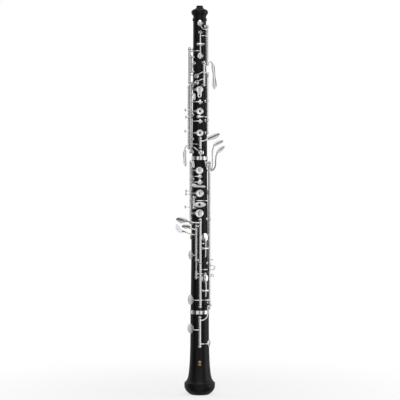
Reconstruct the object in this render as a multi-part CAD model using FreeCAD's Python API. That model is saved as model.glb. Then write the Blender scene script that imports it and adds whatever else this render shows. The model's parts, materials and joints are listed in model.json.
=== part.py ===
import FreeCAD, Part

# Oboe with the full conservatoire key system, built as the separate pieces of the instrument.
#
# Millimetres. The origin is on the bore axis at the bell's rim face, +Z runs up the bore to the
# reed well, and the keys face -Y. An azimuth is measured round the bore from the front (-Y),
# positive towards +X. Every key is drawn with its pads on their seats; a key that stands open is
# then turned about its own hinge to its rest position.

import math
import os

V = FreeCAD.Vector
UP = V(0, 0, 1)

# ---- The tube: heights above the bell rim, and radii --------------------------------------
LENGTH = 595.0
CROWN_TOP_RADIUS = 5.05
REED_WELL_RADIUS = 3.4
REED_WELL_DEPTH = 22.0
BORE_TOP_RADIUS = 2.15
BORE_MIDDLE_RADIUS = 4.9
BORE_LOWER_RADIUS = 8.2

UPPER_SHOULDER = 364.2
LOWER_SHOULDER = 128.9
RING_HEIGHT = 5.7
RING_WALL = 0.9
UPPER_TENON_LENGTH = 18.0
LOWER_TENON_LENGTH = 17.0
UPPER_SOCKET_RADIUS = 8.6
LOWER_SOCKET_RADIUS = 11.2
CORK_THICKNESS = 0.7

UPPER_OUTLINE = [(364.2, 11.5), (405.0, 11.25), (466.0, 10.5), (520.0, 10.15), (571.6, 10.0)]
LOWER_OUTLINE = [(128.9, 13.95), (144.0, 13.8), (220.0, 12.9), (274.0, 12.65), (335.0, 11.7),
                 (358.5, 11.9)]
BELL_OUTLINE = [(73.0, 14.5), (98.0, 14.2), (123.2, 14.2)]
LOWER_RING_RADIUS = 12.4
BELL_RING_RADIUS = 14.6

BELL_RIM_RADIUS = 23.55
BELL_OPENING_RADIUS = 12.2
BELL_FOOT_RADIUS = 14.4
BELL_LIP_DEPTH = 2.6

# ---- The keywork ---------------------------------------------------------------------------
ROD_RADIUS = 1.0
ROD_CLEARANCE = 0.05
TUBE_RADIUS = 1.75
BALL_RADIUS = 2.25
BALL_HALF_HEIGHT = 1.9
ARM_RADIUS = 0.95
THIN_ARM_RADIUS = 0.75
TOUCH_ARM_RADIUS = 1.25
KNOB_SCALE = 1.08
POST_BASE_RADIUS = 2.6
POST_BASE_TAPER = 0.6
POST_STUD_RADIUS = 1.2
POST_STUD_DEPTH = 2.6
POST_SINK = 0.35
SPRING_LENGTH = 7.2
SEAT_SINK = 0.3
SEAT_GROOVE = 0.6
PAD_THICKNESS = 1.4
PAD_SEAT_GAP = 0.02
PAD_SHOWS = 0.5
CUP_WALL = 0.45
PLATE_BRIM = 1.15
PLATE_FLOOR = 0.4
TOUCH_THICKNESS = 1.6
CROWN_SCALE = 3.0
ADJUSTER_DROP = -1.2
ADJUSTER_RADIUS = 1.15
ADJUSTER_HALF = 1.5

CREST_WIDTH = 0.9
CENTRE_HOLE_RADIUS = 1.6
VENT_RADIUS = 0.7
VENT_OFFSET = 3.6
HALF_CUP_FLAT = 2.3
THUMB_REST_AZIMUTH = 180.0
THUMB_REST_Z = 316.0
THUMB_REST_HALF = (6.5, 17.0)
THUMB_SCREW_OFFSETS = (-13.0, 9.0)

# Hinge lines that run parallel to the bore, as (x, y).
LINES = {
    "side_octave": (12.1, -6.6),
    "thumb_octave": (-15.8, -1.0),
    "third_octave": (-13.4, -4.5),
    "trill": (6.7, -12.4),
    "trill_lever": (12.1, -7.6),
    "right_trill": (-16.6, -0.5),
    "upper_left": (-13.7, -6.4),
    "g_sharp": (1.0, -15.3),
    "lower_left": (-13.7, -8.2),
    "f": (-9.3, -13.1),
    "low_a": (-5.1, -15.9),
    "low_b": (0.9, -18.8),
    "left_b": (15.3, -7.4),
    "left_b_flat": (14.8, 6.6),
    "bell": (0.3, -18.0),
}

# Rocking keys, whose hinge crosses the tube, as (azimuth, height of the hinge).
ROCKERS = {
    "octave_vent_key": (4.0, 535.0),
    "e_flat_cup_key": (34.0, 223.6),
    "c_sharp_cup_key": (34.0, 159.2),
}
ROCKER_HEIGHT = 3.6
ROCKER_POST_OFFSET = 4.4
ROCKER_BALL_RADIUS = 1.7
ROCKER_BALL_HALF = 1.3

# Every moving key: its hinge line, the sense of its playing motion about +Z (about the
# tangent for a rocker, where +1 lifts the cup), its travel in degrees, and whether it stands open.
KEYS = {
    "side_octave_key": ("side_octave", 1, 7.0, False),
    "thumb_octave_key": ("thumb_octave", -1, 4.5, False),
    "third_octave_key": ("third_octave", -1, 9.0, False),
    "upper_trill_key": ("trill", 1, 6.09, False),
    "lower_trill_key": ("trill", 1, 4.48, False),
    "trill_lever": ("trill_lever", -1, 7.0, False),
    "right_trill_lever": ("right_trill", -1, 6.0, False),
    "half_hole_key": ("upper_left", 1, 4.0, True),
    "left_second_key": ("upper_left", 1, 4.5, True),
    "left_third_key": ("upper_left", 1, 4.5, True),
    "g_sharp_cup_key": ("upper_left", -1, 4.2, False),
    "g_sharp_lever": ("g_sharp", 1, 7.0, False),
    "right_first_key": ("lower_left", 1, 4.5, True),
    "right_second_key": ("lower_left", 1, 4.5, True),
    "right_third_key": ("lower_left", 1, 4.5, True),
    "f_key": ("f", 1, 5.0, True),
    "e_flat_lever": ("low_b", -1, 5.0, False),
    "c_key": ("low_a", -1, 6.0, True),
    "c_sharp_key": ("low_a", -1, 8.0, False),
    "low_b_key": ("low_b", -1, 4.0, True),
    "left_b_lever": ("left_b", 1, 10.0, False),
    "left_b_flat_lever": ("left_b_flat", 1, 4.5, False),
    "b_flat_key": ("bell", -1, 5.7, True),
    "octave_vent_key": (None, 1, 7.9, False),
    "e_flat_cup_key": (None, 1, 5.95, False),
    "c_sharp_cup_key": (None, 1, 3.68, False),
}

# Posts on each hinge line, by height.
POSTS = {
    "side_octave": [562.4, 505.0],
    "thumb_octave": [529.0, 477.5],
    "third_octave": [516.0, 494.0],
    "trill": [507.0, 472.6],
    "trill_lever": [490.0, 448.4, 418.8, 400.0],
    "right_trill": [470.6, 424.0, 377.6],
    "upper_left": [473.5, 427.8, 390.6, 370.8],
    "g_sharp": [391.0, 376.6],
    "lower_left": [355.2, 329.0, 297.2, 262.4],
    "f": [301.6, 285.6],
    "low_a": [257.4, 205.8, 179.4],
    "low_b": [267.4, 202.6, 134.8],
    "left_b": [354.2, 268.5, 201.0, 141.0],
    "left_b_flat": [349.2, 243.0, 131.9],
    "bell": [118.8, 74.4],
}


# Cups over the tone holes of each key: (azimuth, height, cup radius, hole radius, kind).
# An octave vent's hole holds a metal insert.
CUPS = {
    "side_octave_key": [(2.0, 567.4, 4.4, 1.7, "octave")],
    "octave_vent_key": [(4.0, 517.4, 4.4, 1.7, "octave")],
    "third_octave_key": [(-47.0, 506.5, 2.95, 1.4, "octave")],
    "upper_trill_key": [(-23.6, 486.4, 3.6, 1.6, "dome")],
    "lower_trill_key": [(-23.0, 476.5, 3.6, 1.6, "dome")],
    "half_hole_key": [(1.5, 465.9, 5.3, 2.0, "plate")],
    "left_second_key": [(5.0, 447.0, 3.35, 1.5, "dome"), (4.0, 432.7, 5.3, 2.4, "open_plate")],
    "left_third_key": [(5.0, 417.5, 3.35, 1.5, "dome"), (4.0, 399.6, 5.3, 2.6, "open_plate")],
    "g_sharp_cup_key": [(10.0, 369.8, 4.0, 2.2, "dome")],
    "right_first_key": [(1.0, 342.4, 5.5, 2.9, "plate"), (1.0, 333.3, 3.6, 1.5, "half_dome")],
    "right_second_key": [(3.0, 324.7, 3.95, 2.0, "dome"), (3.0, 307.6, 5.75, 3.0, "plate")],
    "right_third_key": [(1.0, 277.2, 6.1, 3.2, "vented_plate")],
    "e_flat_cup_key": [(34.0, 240.4, 6.4, 3.4, "dome")],
    "c_key": [(-68.0, 213.5, 6.6, 3.8, "dome")],
    "c_sharp_cup_key": [(34.0, 177.8, 6.15, 3.4, "dome")],
    "low_b_key": [(-64.0, 145.1, 7.8, 4.6, "dome")],
    "b_flat_key": [(-60.0, 101.2, 7.5, 5.0, "dome"), (67.0, 78.6, 5.2, 2.6, "dome")],
}

# Keys that turn as one piece with their rod, by hinge line. The others turn on a fixed rod.
PINNED = {
    "trill_lever": "trill_lever",
    "right_trill": "right_trill_lever",
    "low_a": "c_sharp_key",
    "left_b": "left_b_lever",
    "left_b_flat": "left_b_flat_lever",
}


# ---- Geometry helpers ----------------------------------------------------------------------
def polar(azimuth, radius, z):
    angle = math.radians(azimuth)
    return V(radius * math.sin(angle), -radius * math.cos(angle), z)


def azimuth_of(x, y):
    return math.degrees(math.atan2(x, -y))


def surface_radius(z):
    """Radius of the wooden surface at a height, between the outline's stations."""
    if z >= UPPER_SHOULDER:
        outline = UPPER_OUTLINE
    elif z >= LOWER_SHOULDER:
        outline = LOWER_OUTLINE
    else:
        outline = BELL_OUTLINE
    for (z0, r0), (z1, r1) in zip(outline, outline[1:]):
        if z <= z1:
            return r0 + (r1 - r0) * (z - z0) / (z1 - z0)
    return outline[-1][1]


def radial_place(azimuth, z, radius):
    """Local X runs round the tube, local Y up the bore and local Z outwards."""
    angle = math.radians(azimuth)
    across = V(math.cos(angle), math.sin(angle), 0)
    out = V(math.sin(angle), -math.cos(angle), 0)
    at = out * radius + UP * z
    return FreeCAD.Placement(FreeCAD.Matrix(
        across.x, UP.x, out.x, at.x,
        across.y, UP.y, out.y, at.y,
        across.z, UP.z, out.z, at.z,
        0, 0, 0, 1))


def placed(shape, place):
    shape.Placement = place
    return shape


def join(pieces):
    """One solid from pieces that run into each other."""
    result = pieces[0].fuse(pieces[1:]) if len(pieces) > 1 else pieces[0]
    if len(result.Solids) != 1:
        raise RuntimeError(f"expected one solid, got {len(result.Solids)}")
    return result.Solids[0]


def smooth(points):
    curve = Part.BSplineCurve()
    curve.interpolate(points)
    return curve.toShape()


def face_of(edges):
    return Part.Face(Part.Wire(Part.__sortEdges__(edges)))


def turned(edges):
    """A solid of revolution about the bore from an outline in the plane y = 0."""
    return face_of(edges).revolve(V(0, 0, 0), UP, 360)


def station(z, radius):
    return V(radius, 0, z)


def line(a, b):
    return Part.makeLine(a, b)


def polyline(points):
    return [line(a, b) for a, b in zip(points, points[1:])]


def ring(inner, outer, z0, z1):
    return Part.makeCylinder(outer, z1 - z0, V(0, 0, z0)).cut(
        Part.makeCylinder(inner, z1 - z0 + 2, V(0, 0, z0 - 1)))


def arm(points, start_radius=ARM_RADIUS, end_radius=ARM_RADIUS):
    """A round bar along a smooth path that starts inside other metal and ends in a small knob."""
    curve = Part.BSplineCurve()
    curve.interpolate(points)
    path = Part.Wire([curve.toShape()])
    end_direction = curve.tangent(curve.LastParameter)[0]
    first = Part.makeCircle(start_radius, points[0], curve.tangent(curve.FirstParameter)[0])
    last = Part.makeCircle(end_radius, points[-1], end_direction)
    bar = path.makePipeShell([Part.Wire([first]), Part.Wire([last])], True, False)
    knob = Part.makeSphere(end_radius * KNOB_SCALE, points[-1], end_direction)
    return [join([Part.Solid(bar), knob])]


def leaf(spine, half_widths, front_y, thickness=TOUCH_THICKNESS):
    """A touch piece: a rounded outline round a spine of (x, z) points, with a crowned front."""
    left, right = [], []
    for i, (x, z) in enumerate(spine):
        x0, z0 = spine[max(i - 1, 0)]
        x1, z1 = spine[min(i + 1, len(spine) - 1)]
        length = math.hypot(x1 - x0, z1 - z0)
        nx, nz = -(z1 - z0) / length, (x1 - x0) / length
        left.append(V(x + nx * half_widths[i], front_y, z + nz * half_widths[i]))
        right.append(V(x - nx * half_widths[i], front_y, z - nz * half_widths[i]))
    nose_a = beyond(spine[1], spine[0], half_widths[0], front_y)
    nose_b = beyond(spine[-2], spine[-1], half_widths[-1], front_y)
    outline = Part.BSplineCurve()
    outline.interpolate([nose_a] + left + [nose_b] + right[::-1], PeriodicFlag=True)
    blank = Part.Face(Part.Wire([outline.toShape()])).extrude(V(0, thickness, 0))
    crown = CROWN_SCALE * max(half_widths)
    along = nose_b - nose_a
    reach = along.Length + 4 * max(half_widths)
    start = (nose_a + nose_b) * 0.5 - along.normalize() * (reach / 2) + V(0, crown, 0)
    return blank.common(Part.makeCylinder(crown, reach, start, along))


def beyond(inner, end, step, y):
    """The point a step past the end of a spine, on the spine's own line."""
    (x0, z0), (x1, z1) = inner, end
    length = math.hypot(x1 - x0, z1 - z0)
    return V(x1 + (x1 - x0) / length * step, y, z1 + (z1 - z0) / length * step)


# ---- Posts, rods and springs ---------------------------------------------------------------
def hinge_axis(name):
    """A point on a key's hinge and the direction of its hinge line."""
    if name in ROCKERS:
        azimuth, z = ROCKERS[name]
        angle = math.radians(azimuth)
        return polar(azimuth, surface_radius(z) + ROCKER_HEIGHT, z), V(math.cos(angle), math.sin(angle), 0)
    x, y = LINES[KEYS[name][0]]
    return V(x, y, POSTS[KEYS[name][0]][0]), UP


def post_sites():
    """Every post as (ball centre, hinge direction, ball radius, half thickness)."""
    sites = []
    for name, heights in POSTS.items():
        x, y = LINES[name]
        sites += [(V(x, y, z), UP, BALL_RADIUS, BALL_HALF_HEIGHT) for z in heights]
    for name in ROCKERS:
        centre, along = hinge_axis(name)
        for side in (-1, 1):
            at = centre + along * (side * ROCKER_POST_OFFSET)
            sites.append((at, along, ROCKER_BALL_RADIUS, ROCKER_BALL_HALF))
    return sites


def post_frame(centre):
    azimuth = azimuth_of(centre.x, centre.y)
    return azimuth, surface_radius(centre.z), math.hypot(centre.x, centre.y)


def post(centre, along, ball_radius, half):
    """A turned post: stud in the wood, base flange, tapered stem and a ball drilled for the rod."""
    azimuth, surface, distance = post_frame(centre)
    foot = surface - POST_SINK
    at_foot = radial_place(azimuth, centre.z, foot)
    stem_height = distance - ball_radius * 0.6 - foot
    stem = placed(Part.makeCone(ball_radius * 0.72, ball_radius * 0.5, stem_height), at_foot)
    base_height = POST_SINK + POST_BASE_TAPER
    base = Part.makeCone(POST_BASE_RADIUS, POST_BASE_RADIUS - POST_BASE_TAPER, base_height)
    base = placed(base, at_foot)
    slab = Part.makeCylinder(ball_radius + 1, 2 * half, centre - along * half, along)
    ball = Part.makeSphere(ball_radius, centre).common(slab)
    reach = ball_radius + 2
    hole = Part.makeCylinder(ROD_RADIUS + ROD_CLEARANCE, 2 * reach, centre - along * reach, along)
    return join([ball, stem, base, post_stud(azimuth, centre.z, foot, 0.5)]).cut(hole)


def post_stud(azimuth, z, foot, overrun):
    stud = Part.makeCylinder(POST_STUD_RADIUS, POST_STUD_DEPTH + overrun)
    return placed(stud, radial_place(azimuth, z, foot - POST_STUD_DEPTH))


def post_seat(centre):
    """What a post takes out of the wood: a flat seat and the hole for its stud."""
    azimuth, surface, _ = post_frame(centre)
    foot = surface - POST_SINK
    seat = placed(Part.makeCylinder(POST_BASE_RADIUS, 4), radial_place(azimuth, centre.z, foot))
    return [seat, post_stud(azimuth, centre.z, foot, 1)]


def rod(start, along, length):
    """A steel hinge screw: slotted head, shank and a plain end that stands just out of its post."""
    shank = Part.makeCylinder(ROD_RADIUS, length, start, along)
    head = Part.makeCylinder(ROD_RADIUS + 0.5, 0.7, start + along * length, along)
    side = V(1, 0, 0) if abs(along.z) > 0.5 else UP
    slot = Part.makeBox(4, 0.45, 0.4)
    slot.translate(V(-2, -0.225, 0))
    turn = FreeCAD.Rotation(side, along.cross(side), along, "XYZ")
    slot.Placement = FreeCAD.Placement(start + along * (length + 0.35), turn).multiply(slot.Placement)
    return join([shank, head]).cut(slot)


def line_rod(name):
    """The rod of one hinge line, from the foot of its lowest post to the top of its highest."""
    x, y = LINES[name]
    low = min(POSTS[name]) - BALL_HALF_HEIGHT - (0.4 if name in PINNED else 0)
    high = max(POSTS[name]) + BALL_HALF_HEIGHT + (0.1 if name in PINNED else 0)
    return rod(V(x, y, low), UP, high - low)


def rocker_rod(name):
    centre, along = hinge_axis(name)
    reach = ROCKER_POST_OFFSET + ROCKER_BALL_HALF
    return rod(centre - along * reach, along, 2 * reach)


def needle_springs():
    """Steel needles that run beside the hinge tubes from a post on each line."""
    springs = []
    for name, heights in POSTS.items():
        x, y = LINES[name]
        azimuth, distance = azimuth_of(x, y), math.hypot(x, y)
        side = 1 if azimuth > 20 or name in ("low_a", "low_b") else -1
        offset = math.degrees((TUBE_RADIUS + 0.35) / distance) * side
        for z in heights[:-1]:
            top = polar(azimuth + offset, distance - 0.6, z + 0.6)
            springs.append(Part.makeCone(0.22, 0.15, SPRING_LENGTH, top, UP * -1))
    return springs


# ---- Wood, rings, corks --------------------------------------------------------------------
def tone_hole_cuts(azimuth, z, cup_radius, hole_radius):
    seat = surface_radius(z) - SEAT_SINK
    bed = placed(Part.makeCylinder(cup_radius + 0.7, 5), radial_place(azimuth, z, seat))
    groove = Part.makeCylinder(cup_radius + 0.7, SEAT_GROOVE + 0.1).cut(
        Part.makeCylinder(hole_radius + CREST_WIDTH, SEAT_GROOVE + 0.1))
    groove = placed(groove, radial_place(azimuth, z, seat - SEAT_GROOVE))
    hole = placed(Part.makeCylinder(hole_radius, seat), radial_place(azimuth, z, 1.0))
    return [bed, groove, hole]


def cut_for_keywork(wood, z_low, z_high):
    cutters = []
    for cups in CUPS.values():
        for azimuth, z, cup_radius, hole_radius, _ in cups:
            if z_low < z < z_high:
                cutters += tone_hole_cuts(azimuth, z, cup_radius, hole_radius)
    for centre, _, _, _ in post_sites():
        if z_low < centre.z < z_high:
            cutters += post_seat(centre)
    for cutter in cutters:
        wood = wood.cut(cutter)
    return wood


def outline_edge(stations):
    return smooth([station(z, r) for z, r in stations])


def upper_joint():
    well = LENGTH - REED_WELL_DEPTH
    foot = UPPER_SHOULDER - UPPER_TENON_LENGTH
    tenon = UPPER_SOCKET_RADIUS - CORK_THICKNESS
    edges = polyline([
        station(LENGTH - 2, CROWN_TOP_RADIUS), station(LENGTH, CROWN_TOP_RADIUS),
        station(LENGTH, REED_WELL_RADIUS),
        station(well, REED_WELL_RADIUS), station(well, BORE_TOP_RADIUS),
        station(foot, BORE_MIDDLE_RADIUS), station(foot, tenon), station(UPPER_SHOULDER, tenon),
        station(*UPPER_OUTLINE[0]),
    ])
    edges.append(outline_edge(UPPER_OUTLINE))
    bead = [UPPER_OUTLINE[-1], (572.4, 10.85), (574.0, 11.1), (575.6, 10.85), (576.4, 9.85)]
    ball = [(578.0, 9.85), (579.8, 10.3), (582.4, 12.0), (585.0, 12.9), (587.4, 12.3), (588.8, 11.0)]
    crown = [ball[-1], (589.6, 8.9), (591.0, 6.5), (593.0, CROWN_TOP_RADIUS)]
    edges += [outline_edge(bead), line(station(*bead[-1]), station(*ball[0]))]
    edges += [outline_edge(ball), outline_edge(crown)]
    return cut_for_keywork(turned(edges), UPPER_SHOULDER, LENGTH)


def lower_joint():
    foot = LOWER_SHOULDER - LOWER_TENON_LENGTH
    tenon = LOWER_SOCKET_RADIUS - CORK_THICKNESS
    socket = UPPER_SHOULDER - UPPER_TENON_LENGTH - 0.2
    under_ring = LOWER_RING_RADIUS - RING_WALL
    ring_foot = UPPER_SHOULDER - RING_HEIGHT
    edges = polyline([
        station(*LOWER_OUTLINE[0]), station(LOWER_SHOULDER, tenon), station(foot, tenon),
        station(foot, BORE_LOWER_RADIUS), station(socket, BORE_MIDDLE_RADIUS),
        station(socket, UPPER_SOCKET_RADIUS), station(UPPER_SHOULDER, UPPER_SOCKET_RADIUS),
        station(UPPER_SHOULDER, under_ring), station(ring_foot, under_ring),
        station(*LOWER_OUTLINE[-1]),
    ])
    edges.append(outline_edge(LOWER_OUTLINE))
    return cut_for_keywork(turned(edges), LOWER_SHOULDER, ring_foot)


def bell():
    socket = LOWER_SHOULDER - LOWER_TENON_LENGTH - 0.2
    under_ring = BELL_RING_RADIUS - RING_WALL
    ring_foot = LOWER_SHOULDER - RING_HEIGHT
    flare = [(73.0, 14.5), (56.0, 15.05), (39.6, 16.1), (32.8, 16.85), (26.0, 18.1), (22.3, 19.6),
             (19.6, 21.6), (17.8, BELL_RIM_RADIUS)]
    rim = [(12.6, BELL_RIM_RADIUS), (9.4, 22.9), (6.0, 21.1), (2.6, 18.0), (0.0, BELL_FOOT_RADIUS)]
    cavity = [(BELL_LIP_DEPTH, BELL_OPENING_RADIUS), (6.4, 15.6), (12.0, 18.2), (20.0, 16.4), (40.0, 12.6),
              (73.0, 10.4), (socket, BORE_LOWER_RADIUS + 0.1)]
    edges = polyline([
        station(*cavity[-1]), station(socket, LOWER_SOCKET_RADIUS),
        station(LOWER_SHOULDER, LOWER_SOCKET_RADIUS), station(LOWER_SHOULDER, under_ring),
        station(ring_foot, under_ring), station(*BELL_OUTLINE[-1]), station(*BELL_OUTLINE[1]),
        station(*BELL_OUTLINE[0]),
    ])
    edges += [outline_edge(flare), line(station(*flare[-1]), station(*rim[0])), outline_edge(rim)]
    mouth = station(0.0, BELL_OPENING_RADIUS)
    edges += [line(station(*rim[-1]), mouth), line(mouth, station(*cavity[0])), outline_edge(cavity)]
    return cut_for_keywork(turned(edges), 0, ring_foot)


def socket_ring(outer, top):
    """A silver band round the mouth of a socket, its edges rounded."""
    band = ring(outer - RING_WALL, outer, top - RING_HEIGHT, top)
    rims = [e for e in band.Edges if abs(e.BoundBox.XMax - outer) < 0.01 and e.BoundBox.ZLength < 0.01]
    return band.makeFillet(0.4, rims)


def tenon_cork(socket_radius, shoulder):
    return ring(socket_radius - CORK_THICKNESS, socket_radius, shoulder - 15.5, shoulder - 3.0)


def octave_inserts():
    inserts = []
    for cups in CUPS.values():
        for azimuth, z, _, hole_radius, kind in cups:
            if kind == "octave":
                seat = surface_radius(z) - SEAT_SINK
                tube = Part.makeCylinder(hole_radius, seat - 3.6).cut(Part.makeCylinder(0.45, seat))
                inserts.append(placed(tube, radial_place(azimuth, z, 3.6)))
    return inserts


# ---- Cups, pads and hinge tubes ------------------------------------------------------------
def spun(points, arc=None):
    """A local solid of revolution from (radius, height) points, closed by an arc if given."""
    edges = polyline([V(r, 0, h) for r, h in points])
    if arc:
        edges.append(Part.Arc(*[V(r, 0, h) for r, h in arc]).toShape())
    edges.append(line(V(points[-1][0], 0, points[-1][1]) if not arc else V(arc[-1][0], 0, arc[-1][1]),
                      V(points[0][0], 0, points[0][1])))
    return face_of(edges).revolve(V(0, 0, 0), UP, 360)


def drill(shape, radius, offset=0.0):
    return shape.cut(Part.makeCylinder(radius, 12, V(0, offset, -4)))


def cup_and_pad(azimuth, z, radius, kind):
    """The metal cup with its pad seated on the tone hole, as placed solids."""
    roof = PAD_SEAT_GAP + PAD_THICKNESS
    lip = PAD_SEAT_GAP + PAD_SHOWS
    if kind in ("dome", "half_dome", "octave"):
        metal = spun([(0, lip), (radius, lip), (radius, roof + 0.1)],
                     [(radius, roof + 0.1), (radius * 0.62, roof + 0.85), (0, roof + 1.15)])
    else:
        brim, edge = roof + PLATE_BRIM, radius - 0.6
        dished = (PLATE_BRIM - PLATE_FLOOR) * 0.75
        metal = spun([(0, lip), (radius, lip), (radius, brim - 0.25), (radius - 0.25, brim), (edge, brim)],
                     [(edge, brim), (edge / 2, brim - dished), (0, roof + PLATE_FLOOR)])
    pad = Part.makeCylinder(radius - CUP_WALL, PAD_THICKNESS, V(0, 0, PAD_SEAT_GAP))
    metal = metal.cut(pad)
    if kind == "open_plate":
        metal, pad = drill(metal, CENTRE_HOLE_RADIUS), drill(pad, CENTRE_HOLE_RADIUS)
    if kind == "vented_plate":
        for offset in (-VENT_OFFSET, VENT_OFFSET):
            metal, pad = drill(metal, VENT_RADIUS, offset), drill(pad, VENT_RADIUS, offset)
    if kind == "half_dome":
        flat = Part.makeBox(4 * radius, radius, 8, V(-2 * radius, -radius - HALF_CUP_FLAT, -2))
        metal, pad = metal.cut(flat), pad.cut(flat)
    place = radial_place(azimuth, z, surface_radius(z) - SEAT_SINK)
    return placed(metal, place), placed(pad, place)


def cup_top(azimuth, z):
    """The middle of a domed cup's crown, a little inside the metal."""
    return polar(azimuth, surface_radius(z) - SEAT_SINK + PAD_THICKNESS + 1.35, z)


def cup_side(azimuth, z, radius):
    """Where an arm from the left meets the rim of a finger plate."""
    place = radial_place(azimuth, z, surface_radius(z) - SEAT_SINK)
    return place.multVec(V(-radius + 0.1, 0, PAD_THICKNESS + 0.35))


def on_line(name, z):
    return V(*LINES[name], z)


def above(azimuth, height, z):
    return polar(azimuth, surface_radius(z) + height, z)


def finish_key(name, pieces, spans, cups=None):
    """Fuse a key, bore its hinge tubes, seat its pads and turn it to its rest position."""
    line_name, sense, travel, stands_open = KEYS[name]
    x, y = LINES[line_name]
    cups = [cup_and_pad(*cup[:3], cup[4]) for cup in CUPS.get(name, [])] if cups is None else cups
    tubes = [Part.makeCylinder(TUBE_RADIUS, high - low, V(x, y, low)) for high, low in spans]
    core = [line_rod(line_name)] if PINNED.get(line_name) == name else []
    metal = join(tubes + core + [metal for metal, _ in cups] + pieces)
    if not core:
        bores = [Part.makeCylinder(ROD_RADIUS + ROD_CLEARANCE, high - low + 1, V(x, y, low - 0.5))
                 for high, low in spans]
        metal = metal.cut(bores)
    pads = [pad for _, pad in cups]
    if pads:
        metal = metal.cut(pads)
    result = {name: metal}
    if pads:
        result[name.removesuffix("_key") + "_pads"] = Part.makeCompound(pads)
    if stands_open:
        for shape in result.values():
            shape.rotate(V(x, y, 0), UP, -sense * travel)
    return result


def plate_arm(line_name, azimuth, z, radius):
    """A bar from the hinge line that flares like a leaf into the rim of a finger plate."""
    start, end = on_line(line_name, z), cup_side(azimuth, z, radius)
    middle = above((azimuth_of(start.x, start.y) + azimuth_of(end.x, end.y)) / 2, 3.5, z)
    place = radial_place(azimuth, z, surface_radius(z) - SEAT_SINK)
    root = place.multVec(V(-0.78 * radius, 0, PAD_THICKNESS + 0.05))
    run = root - middle
    across = V(run).normalize().cross(UP)
    sections = []
    for share, height, thick in ((0.0, ARM_RADIUS * 0.96, 0.75), (0.5, 0.3 * radius, 0.66),
                                 (1.0, 0.58 * radius, 0.6)):
        centre = middle + run * share
        oval = Part.Ellipse(centre + UP * height, centre + across * thick, centre)
        sections.append(Part.Wire([oval.toShape()]))
    return arm([start, middle, end]) + [Part.makeLoft(sections, True, False)]


def dome_arm(line_name, azimuth, z):
    start = on_line(line_name, z)
    middle = above((azimuth_of(start.x, start.y) + azimuth) / 2, 4.0, z)
    return arm([start, middle, cup_top(azimuth, z)], ARM_RADIUS, THIN_ARM_RADIUS)


def adjusting_arm(line_name, z, reach):
    """A short arm out to the left of a hinge tube, with a boss that carries an adjusting screw."""
    x, y = LINES[line_name]
    end = V(x - reach, y + ADJUSTER_DROP, z)
    boss = Part.makeCylinder(ADJUSTER_RADIUS, 2 * ADJUSTER_HALF, end - UP * ADJUSTER_HALF)
    return arm([V(x, y, z), V(x - reach / 2, y + ADJUSTER_DROP / 3, z), end],
               THIN_ARM_RADIUS, THIN_ARM_RADIUS) + [boss]


def stack_arms(name):
    """The arms that join every cup of a stack key to its hinge line."""
    pieces = []
    for azimuth, z, radius, _, kind in CUPS[name]:
        if kind in ("dome", "half_dome"):
            pieces += dome_arm(KEYS[name][0], azimuth, z)
        else:
            pieces += plate_arm(KEYS[name][0], azimuth, z, radius)
    return pieces


def curved_touch(azimuth, z, radius, half_width, half_height):
    """An oval touch piece that lies round the tube, its back flat and its front round the bore."""
    oval = Part.Ellipse(V(0, 0, 0), max(half_width, half_height), min(half_width, half_height)).toShape()
    if half_height > half_width:
        oval.rotate(V(0, 0, 0), UP, 90)
    plate = Part.Face(Part.Wire([oval])).extrude(V(0, 0, TOUCH_THICKNESS))
    plate = placed(plate, radial_place(azimuth, z, radius))
    front = Part.makeCylinder(radius + TOUCH_THICKNESS, 2 * half_height + 2, V(0, 0, z - half_height - 1))
    return plate.common(front)


# ---- Upper joint keys ----------------------------------------------------------------------
def side_octave_key():
    pieces = arm([on_line("side_octave", 558.3), V(8.6, -11.4, 557.4), V(4.8, -13.4, 558.4),
                  V(1.8, -13.4, 562.6), cup_top(2.0, 567.4)], ARM_RADIUS, THIN_ARM_RADIUS)
    pieces += arm([on_line("side_octave", 548.0), above(35, 2.7, 548.0), above(15, 1.6, 548.0)],
                  ARM_RADIUS, THIN_ARM_RADIUS)
    pieces += arm([on_line("side_octave", 509.0), V(16.0, -6.4, 509.0), V(19.6, -5.6, 505.5)])
    pieces.append(leaf([(19.4, 505.5), (21.2, 496.0), (22.2, 482.0), (22.6, 469.0)],
                       [1.6, 2.2, 2.6, 2.2], -6.4))
    return finish_key("side_octave_key", pieces, [(560.4, 507.0)])


def thumb_octave_key():
    z = 524.9
    pieces = arm([on_line("thumb_octave", z), polar(-65, 13.4, z), polar(-40, 12.5, z),
                  polar(-15, 12.0, z), polar(3, 11.9, z)], ARM_RADIUS, THIN_ARM_RADIUS)
    pieces += arm([on_line("thumb_octave", 490.0), polar(-115, 15.6, 490.0),
                   polar(-150, 15.2, 490.0), polar(-170, 15.0, 490.0)])
    pieces.append(curved_touch(-176, 490.0, 14.2, 6.0, 9.5))
    return finish_key("thumb_octave_key", pieces, [(526.9, 479.6)])


def third_octave_key():
    pieces = arm([on_line("third_octave", 506.5), cup_top(-47, 506.5)], ARM_RADIUS, THIN_ARM_RADIUS)
    pieces += arm([on_line("third_octave", 499.0), polar(-90, 12.5, 499.5), polar(-120, 12.9, 501.5),
                   polar(-138, 14.0, 504.0)], THIN_ARM_RADIUS, THIN_ARM_RADIUS)
    pieces.append(curved_touch(-142, 505.0, 13.4, 3.0, 4.2))
    return finish_key("third_octave_key", pieces, [(513.9, 496.1)])


def trill_arm(z_line, azimuth, z_cup):
    return arm([on_line("trill", z_line), V(2.5, -14.7, z_line - 1.3), V(-2.0, -14.2, z_cup + 2.3),
                cup_top(azimuth, z_cup)], ARM_RADIUS, THIN_ARM_RADIUS)


def upper_trill_key():
    pieces = trill_arm(492.6, -23.6, 486.4)
    pieces += arm([on_line("trill", 491.8), V(9.5, -12.9, 491.8)], ARM_RADIUS, THIN_ARM_RADIUS)
    return finish_key("upper_trill_key", pieces, [(504.9, 489.2)])


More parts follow.
